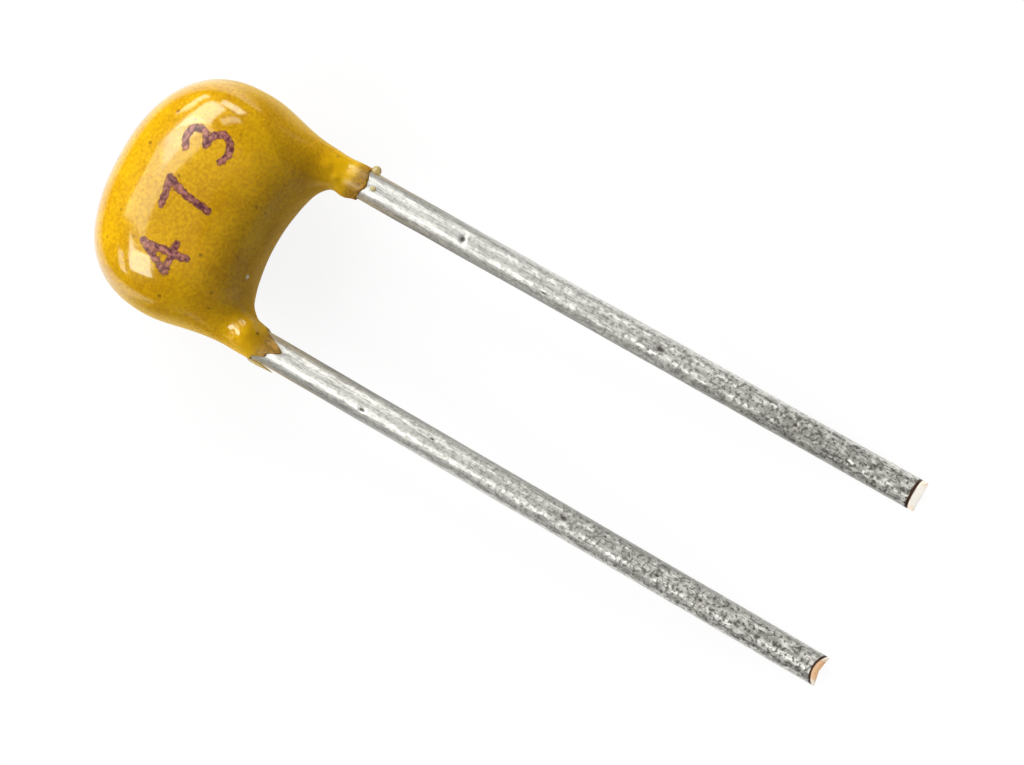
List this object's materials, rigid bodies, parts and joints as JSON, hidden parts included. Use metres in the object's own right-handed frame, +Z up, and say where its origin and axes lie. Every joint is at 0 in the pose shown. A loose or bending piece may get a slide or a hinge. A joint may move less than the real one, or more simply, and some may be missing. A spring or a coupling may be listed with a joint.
{
  "type": "multilayer ceramic capacitor",
  "caption": "Small radial multilayer ceramic capacitor: a pillow-shaped golden epoxy coat over a layered chip, with two straight tinned wire leads.",
  "frame": {"origin": "centre of the bounding box in X and Y, on the surface that the capacitor lies on", "axes": "+Z up through the marked broad face, which the capacitor's resting tilt leans about 4.5 degrees from level; the wires run towards -Y and the coated body is at +Y; X runs from the left wire (-X) to the right wire (+X)"},
  "size_m": [0.004, 0.0134, 0.0024],
  "materials": {
    "epoxy": "gloss",
    "ceramic": "matte",
    "termination": "satin",
    "solder": "satin",
    "tinned_wire": "satin",
    "electrode": "matte"
  },
  "bodies": {
    "root": {"epoxy_coat": "epoxy", "ceramic_block": "ceramic", "left_termination": "termination", "left_solder_joint": "solder", "left_lead_wire": "tinned_wire", "right_termination": "termination", "right_solder_joint": "solder", "right_lead_wire": "tinned_wire", "left_electrode_01": "electrode", "right_electrode_01": "electrode", "left_electrode_02": "electrode", "right_electrode_02": "electrode", "left_electrode_03": "electrode", "right_electrode_03": "electrode", "left_electrode_04": "electrode", "right_electrode_04": "electrode", "left_electrode_05": "electrode", "right_electrode_05": "electrode", "left_electrode_06": "electrode", "right_electrode_06": "electrode", "left_electrode_07": "electrode", "right_electrode_07": "electrode", "left_electrode_08": "electrode", "right_electrode_08": "electrode", "left_electrode_09": "electrode", "right_electrode_09": "electrode", "left_electrode_10": "electrode", "right_electrode_10": "electrode", "left_electrode_11": "electrode", "right_electrode_11": "electrode", "left_electrode_12": "electrode", "right_electrode_12": "electrode"}
  },
  "joints": []
}
